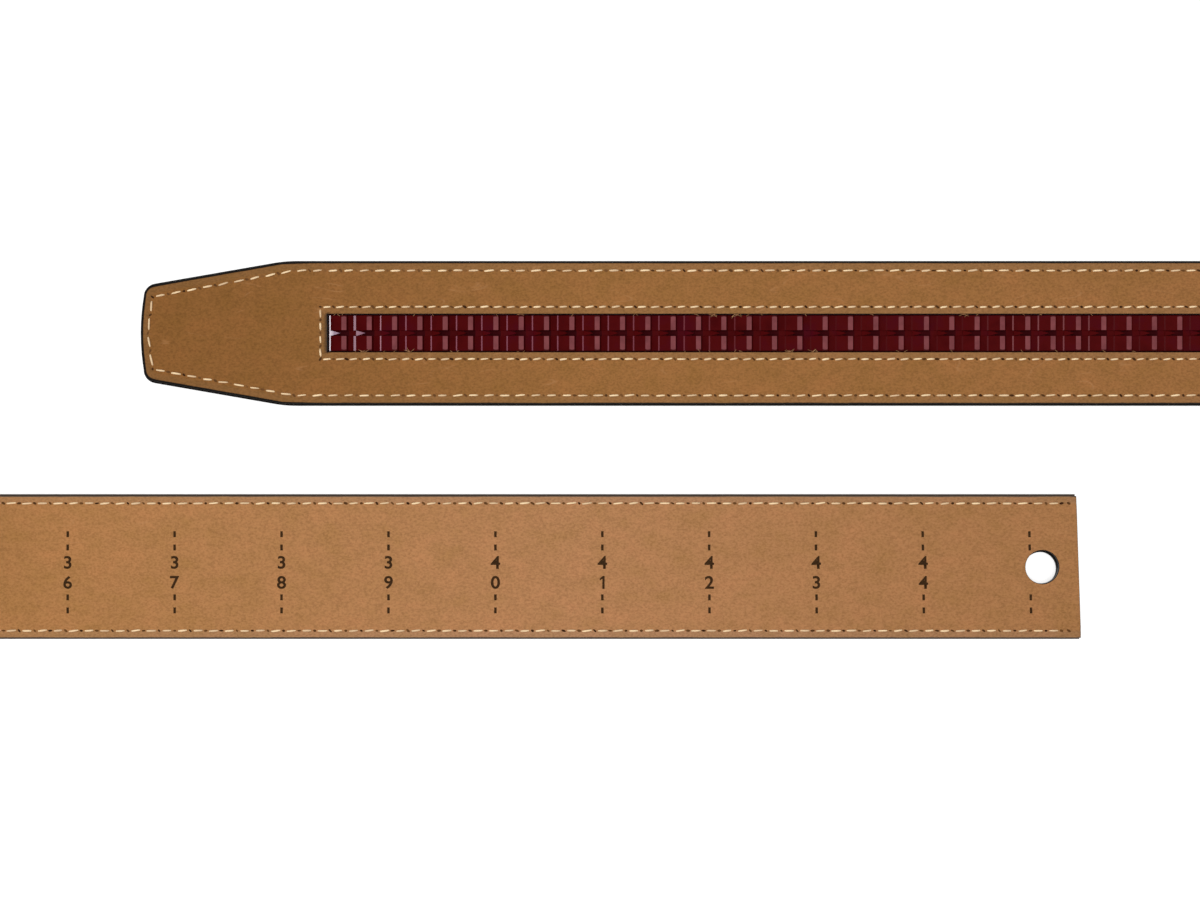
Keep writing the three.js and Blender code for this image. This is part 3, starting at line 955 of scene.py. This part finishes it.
# Stitching
# Cream thread holds lining to outer leather round the whole edge, and lining to track round the
# window. Each stitch stands up between two needle holes that it pulls into the leather.
STITCH_PITCH = 3.7 * MM
WINDOW_STITCH_PITCH = 3.13 * MM
TIP_SEAM_FROM_TIP = 3.2 * MM
TIP_SEAM_HALF = 8.55 * MM
TIP_SEAM_BOW = 1.1 * MM
SHOULDER_SEAM_FROM_TIP = 36.8 * MM
THREAD_HALF = 0.24 * MM
THREAD_SIDES = 6
STITCH_SHARE = 0.62
SEAM_END = 4.1 * MM
END_HOLES = (4.1 * MM, 2.4 * MM)
SEAM_WANDER = 0.05 * MM
THREAD_LIFT = 0.06 * MM
SPOT_LIFT = 0.015 * MM
SEAM_SEED = 7
# Ranges of the chance changes from stitch to stitch, as shares and in degrees
STITCH_LENGTHS = (0.92, 1.1)
STITCH_WIDTHS = (0.9, 1.12)
STITCH_TURNS = (-4, 4)
HOLE_HALF_LENGTH = 0.5 * MM
HOLE_HALF_WIDTH = 0.25 * MM
HOLE_LENGTHS = (0.7, 1.15)
HOLE_WIDTHS = (0.8, 1.25)
HOLE_TURNS = (-50, 10)
EDGE_SLANT = math.radians(4)
WINDOW_SLANT = math.radians(6)
# Half of one stitch of unit length: place along it, radius and height of each ring
HALF_ARCH = ((0.5, 0.35, -0.9), (0.4, 0.8, 0), (0.15, 1, 0.3))
ARCH_OVAL = 0.8
CREAM_STOPS = ((0.0, (0.6, 0.41, 0.24)), (1.0, (0.88, 0.66, 0.4)))
HOLE_STOPS = ((0.0, (0.03, 0.011, 0.004)), (1.0, (0.2, 0.088, 0.029)))
THREAD_STOPS = ((0.3, (0.004, 0.004, 0.004)), (0.7, (0.014, 0.013, 0.012)))
THREAD_TWIST = 2.2 * MM
# Where the edges' holes are pale, from the tip, and the lengths over which that comes and goes
PALE_HOLES = (12 * MM, 140 * MM)
PALE_HOLES_FADE = (10 * MM, 60 * MM)
PALE_HOLES_SIDE = 9 * MM
PALE_HOLES_SHADE = 0.5
HOLE_SHADE = 0.28
HOLE_WAVE = (1.3 * MM, 3 * MM)
THREAD_SHADE = 0.62
THREAD_WAVE = (1.9 * MM, 5 * MM)
THREAD_WAVE_SWING = 9
needle = random.Random(SEAM_SEED)

cream_thread, tree, shader = new_material("cream_thread")
wave_inputs = {"Vector": flat_place(tree), "Scale": 1 / THREAD_TWIST, "Distortion": 0.6}
twist = node(tree, "TexWave", wave_inputs, bands_direction="DIAGONAL")["Fac"]
surface = {
    "Base Color": ramp(tree, point_value(tree, "shade"), CREAM_STOPS),
    "Roughness": 0.7,
    "Specular IOR Level": 0.3,
    "Normal": bump(tree, twist, 0.6, 0.05 * MM),
}
set_inputs(tree, shader, surface)

# Each needle hole is a flat spot, coloured dark brown as painted shade of the hole
hole_shade_paint, tree, shader = new_material("needle_hole")
hole_colour = ramp(tree, point_value(tree, "shade"), HOLE_STOPS)
surface = {"Base Color": hole_colour, "Roughness": 0.9, "Specular IOR Level": 0.05}
set_inputs(tree, shader, surface)

black_thread = grained_material("black_thread", (0.25 * MM, 6 * MM), "Pores", THREAD_STOPS, 0.6)


def thread_arch():
    """One stitch of unit length and unit half thickness, thin where it dives into its two holes."""
    bm = bmesh.new()
    rings = []
    for x, radius, z in [(-x, radius, z) for x, radius, z in HALF_ARCH] + list(HALF_ARCH[::-1]):
        angles = [math.tau * side / THREAD_SIDES for side in range(THREAD_SIDES + 1)]
        ring = [(x, radius * math.sin(a), z + ARCH_OVAL * radius * math.cos(a)) for a in angles]
        rings.append(ring)
    add_grid(bm, rings)
    bmesh.ops.remove_doubles(bm, verts=bm.verts[:], dist=1e-4)
    bmesh.ops.holes_fill(bm, edges=bm.edges[:], sides=0)
    bmesh.ops.recalc_face_normals(bm, faces=bm.faces[:])
    return shape_of(bm)


def needle_spot():
    """A flat round spot of unit radius, coloured as the painted shade in a needle hole."""
    bm = bmesh.new()
    bmesh.ops.create_circle(bm, cap_ends=True, segments=8, radius=1)
    return shape_of(bm)


def sew(start, end, pitch, slant, height):
    """Whole stitches along one straight leg between two places given as s and v. It returns the
    copies of the thread, and those of the needle holes between them."""
    start, end = Vector(start), Vector(end)
    leg = end - start
    count = max(1, round(leg.length / pitch))
    turn = math.atan2(leg.y, leg.x)
    sewn, pierced = [], []
    for stitch in range(count):
        middle = start + leg * (stitch + 0.5) / count
        length = leg.length / count * STITCH_SHARE * needle.uniform(*STITCH_LENGTHS)
        thick = THREAD_HALF * needle.uniform(*STITCH_WIDTHS)
        aside = needle.uniform(-SEAM_WANDER, SEAM_WANDER)
        shift = Matrix.Translation((middle.x, middle.y + aside, height))
        turned = Matrix.Rotation(turn + slant + math.radians(needle.uniform(*STITCH_TURNS)), 4, "Z")
        sewn.append((arch, shift @ turned @ Matrix.Diagonal((length, thick, thick, 1))))
        hole = start + leg * stitch / count
        long = HOLE_HALF_LENGTH * needle.uniform(*HOLE_LENGTHS)
        wide = HOLE_HALF_WIDTH * needle.uniform(*HOLE_WIDTHS)
        shift = Matrix.Translation((hole.x, hole.y, STRAP_THICKNESS + SPOT_LIFT))
        turned = Matrix.Rotation(turn + math.radians(needle.uniform(*HOLE_TURNS)), 4, "Z")
        pierced.append((spot, shift @ turned @ Matrix.Diagonal((long, wide, 1, 1))))
    return sewn, pierced


arch, spot = thread_arch(), needle_spot()
seam_stations = [SHOULDER_SEAM_FROM_TIP, SEAM_INSETS[0][0], SEAM_INSETS[1][0], STRAP_LENGTH - SEAM_END]
half_route = [(TIP_SEAM_FROM_TIP, TIP_SEAM_HALF)]
half_route += [(s, STRAP_WIDTH / 2 - seam_inset(s)) for s in seam_stations]
tip_middle = (TIP_SEAM_FROM_TIP - TIP_SEAM_BOW, 0)
edge_route = [(s, -v) for s, v in half_route[::-1]] + [tip_middle] + half_route
near = WINDOW_FROM_TIP - WINDOW_STITCH_INSET
far = WINDOW_FROM_TIP + WINDOW_LENGTH + WINDOW_STITCH_INSET
half = WINDOW_HALF + WINDOW_STITCH_INSET
window_route = ((near, -half), (near, half), (far, half), (far, -half), (near, -half))
seams = ((edge_route, STITCH_PITCH, EDGE_SLANT), (window_route, WINDOW_STITCH_PITCH, WINDOW_SLANT))
threads, holes, face_threads = [], [], []
for route, pitch, slant in seams:
    for start, end in zip(route, route[1:]):
        sewn, pierced = sew(start, end, pitch, slant, STRAP_THICKNESS + THREAD_LIFT)
        threads += sewn
        holes += pierced
# Two holes are left empty past the last stitch of each edge seam
for side in (-1, 1):
    for from_end in END_HOLES:
        end = (STRAP_LENGTH - from_end, side * half_route[-1][1])
        holes += sew(end, (STRAP_LENGTH, end[1]), STRAP_LENGTH, 0, STRAP_THICKNESS)[1]
# The same edge seam on the face side, upside down
over, under = Matrix.Rotation(math.pi, 4, "X"), Matrix.Translation((0, 0, -THREAD_LIFT))
for start, end in zip(edge_route, edge_route[1:]):
    sewn = sew(start, end, STITCH_PITCH, 0, 0)[0]
    face_threads += [(shape, under @ (place @ over)) for shape, place in sewn]


def hole_shade(flat):
    """How pale the painted shade of the needle holes is: hardly seen along the edges just past the tip,
    and dark to middling elsewhere."""
    s, v, _ = flat.T
    begun = smooth_step((s - PALE_HOLES[0]) / PALE_HOLES_FADE[0])
    left = smooth_step((PALE_HOLES[1] - s) / PALE_HOLES_FADE[1])
    pale = begun * left * (abs(v) > PALE_HOLES_SIDE)
    wave = np.sin(s / HOLE_WAVE[0] + v / HOLE_WAVE[1])
    return np.clip(HOLE_SHADE * (1 + wave) + PALE_HOLES_SHADE * pale, 0, 1)


def stitch_shade(flat):
    """A slow change of brightness from stitch to stitch."""
    s, v, _ = flat.T
    wave = np.sin(s / THREAD_WAVE[0] + THREAD_WAVE_SWING * np.sin(v / THREAD_WAVE[1]))
    return THREAD_SHADE + (1 - THREAD_SHADE) * wave


finish_piece(joined(face_threads), "face_stitches", [black_thread], face_relief)
shades = {"shade": stitch_shade}
finish_piece(joined(threads), "back_stitches", [cream_thread], lining_relief, shades)
shades = {"shade": hole_shade}
finish_piece(joined(holes), "needle_holes", [hole_shade_paint], lining_relief, shades)

# Loose fibres
# Wisps of cut leather that stick out over the teeth from the window's edges, loose at one end.
FIBRE_HALF = 0.05 * MM
FIBRE_SEED = 11
LONE_FIBRES = 50
LONE_LONGEST = 1.4 * MM
CLUMP_FIBRES = 6
CLUMP_LONGEST = 2.4 * MM
CLUMP_SPREAD = 0.8 * MM
FIBRE_LENGTHS = (0.3, 1.0)
FIBRE_TURNS = (10, 60)
ROOT_INSET = 0.12 * MM
ROOT_DEPTH = 0.18 * MM
# Millimetres from the tip, and the window's edge
FIBRE_CLUMPS = ((53.4, -1), (64.6, -1), (136.3, 1), (141.6, 1), (154.6, -1), (160.5, -1), (196.0, 1))
fray = random.Random(FIBRE_SEED)

FIBRE_STOPS = ((0.3, (0.2, 0.085, 0.03)), (0.7, (0.42, 0.22, 0.1)))
tan_fibre = grained_material("tan_fibre", (0.2 * MM, 2 * MM), "Mottle", FIBRE_STOPS, 0.9)

places = [(s * MM, side, CLUMP_FIBRES, CLUMP_LONGEST) for s, side in FIBRE_CLUMPS]
for _ in range(LONE_FIBRES):
    s = WINDOW_FROM_TIP + fray.random() * WINDOW_LENGTH
    places.append((s, fray.choice((-1, 1)), 1, LONE_LONGEST))
copies = []
for s, side, count, longest in places:
    for _ in range(count):
        length = fray.uniform(*FIBRE_LENGTHS) * longest
        turn = math.radians(fray.uniform(*FIBRE_TURNS)) * fray.choice((-1, 1))
        along = s + fray.uniform(-CLUMP_SPREAD, CLUMP_SPREAD)
        root = (along, side * (WINDOW_HALF - ROOT_INSET), STRAP_THICKNESS - ROOT_DEPTH)
        size = Matrix.Diagonal((length, FIBRE_HALF, FIBRE_HALF, 1))
        copies.append((arch, Matrix.Translation(root) @ Matrix.Rotation(turn, 4, "Z") @ size))
finish_piece(joined(copies), "loose_fibres", [tan_fibre], lining_relief)

# Trim marks
# Dark brown ink on the lining, one inch apart, to show where the cut end is trimmed for a waist
# size. Each has a plain number between two pairs of dashes, and the last one has dashes alone.
MARK_SPACING = 25.4 * MM
LAST_MARK_FROM_CUT = 11.6 * MM
LAST_NUMBER = 44
MARK_COUNT = 16
DASH_WIDTH = 0.6 * MM
DASH_LENGTH = 1.42 * MM
DASH_PLACES = (7.8 * MM, 4.65 * MM, -7.2 * MM, -10.3 * MM)
TENS_PLACE = 1.1 * MM
UNITS_PLACE = -3.65 * MM
DIGIT_HEIGHT = 3.08 * MM
DIGIT_WEIGHT = 0.021
DIGIT_WIDENING = 1.08
MARK_TILT = math.radians(1.2)
TILTED_MARKS = 4
# The digit one, as shares of its height: a stem with a short flag
ONE_OUTLINE = ((0, 0), (0.17, 0), (0.17, 1), (0.03, 1), (-0.2, 0.8), (-0.2, 0.66), (0, 0.78))
INK_LIFT = 0.02 * MM

INK_STOPS = ((0.3, (0.018, 0.008, 0.002)), (0.75, (0.056, 0.024, 0.006)))
ink = grained_material("brown_ink", (0.25 * MM, 3 * MM), "Pores", INK_STOPS, 0.8, 0.1)


def digit_shape(digit):
    """One printed digit, centred, at its printed height."""
    if digit == "1":
        bm = bmesh.new()
        corners = [(x * DIGIT_HEIGHT, (y - 0.5) * DIGIT_HEIGHT, 0) for x, y in ONE_OUTLINE]
        bm.faces.new([bm.verts.new(corner) for corner in corners])
        return shape_of(bm)
    curve = bpy.data.curves.new("digit", "FONT")
    curve.body = digit
    curve.offset = DIGIT_WEIGHT
    text = new_object("digit", curve)
    bpy.context.view_layer.update()
    mesh = bpy.data.meshes.new_from_object(text.evaluated_get(bpy.context.evaluated_depsgraph_get()))
    bpy.data.objects.remove(text)
    bm = bmesh.new()
    bm.from_mesh(mesh)
    across = [vert.co.x for vert in bm.verts]
    upward = [vert.co.y for vert in bm.verts]
    scale = DIGIT_HEIGHT / (max(upward) - min(upward))
    centred = Matrix.Translation((-(min(across) + max(across)) / 2, -(min(upward) + max(upward)) / 2, 0))
    sized = Matrix.Diagonal((scale * DIGIT_WIDENING, scale, 1, 1))
    bmesh.ops.transform(bm, matrix=sized @ centred, verts=bm.verts[:])
    return shape_of(bm)


def dash_shape():
    bm = bmesh.new()
    sized = Matrix.Diagonal((DASH_WIDTH, DASH_LENGTH, 1, 1))
    bmesh.ops.create_grid(bm, x_segments=1, y_segments=3, size=0.5, matrix=sized)
    return shape_of(bm)


digits = {digit: digit_shape(digit) for digit in "0123456789"}
dash = dash_shape()
copies = []
for mark in range(MARK_COUNT):
    s = STRAP_LENGTH - LAST_MARK_FROM_CUT - mark * MARK_SPACING
    prints = [(dash, v) for v in DASH_PLACES]
    if mark:
        tens, units = str(LAST_NUMBER + 1 - mark)
        prints += [(digits[tens], TENS_PLACE), (digits[units], UNITS_PLACE)]
    # The marks nearest the cut end lean a little
    tilt = Matrix.Rotation(MARK_TILT * max(0, 1 - mark / TILTED_MARKS), 4, "Z")
    place = Matrix.Translation((s, 0, STRAP_THICKNESS + INK_LIFT)) @ tilt
    copies += [(shape, place @ Matrix.Translation((0, v, 0))) for shape, v in prints]
finish_piece(joined(copies), "trim_marks", [ink], lining_relief)
